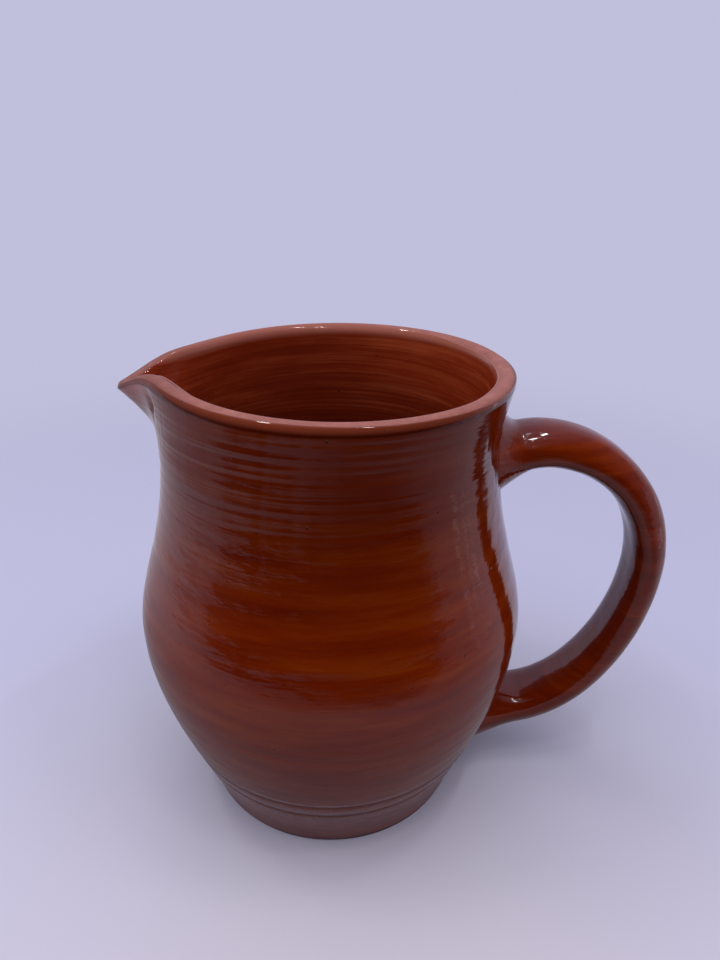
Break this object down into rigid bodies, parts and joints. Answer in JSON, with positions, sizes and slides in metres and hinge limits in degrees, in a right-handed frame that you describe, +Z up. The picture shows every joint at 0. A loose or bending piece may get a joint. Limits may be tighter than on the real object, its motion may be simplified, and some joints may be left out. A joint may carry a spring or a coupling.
{
  "type": "ceramic pitcher",
  "caption": "Hand-thrown earthenware pitcher with a pinched spout, a pulled strap handle and a red-brown glaze.",
  "frame": {"origin": "centre of the flat foot, on the surface that the pitcher stands on", "axes": "+Z up, +X towards the handle, spout towards -X, +Y across"},
  "size_m": [0.1868, 0.1346, 0.16],
  "materials": {
    "clay": "matte",
    "glaze": "gloss"
  },
  "bodies": {
    "root": {"thrown_body": "clay", "handle": "clay", "upper_slip_joint": "clay", "lower_slip_joint": "clay", "body_glaze": "glaze", "liner_glaze": "glaze", "handle_glaze": "glaze"}
  },
  "joints": []
}
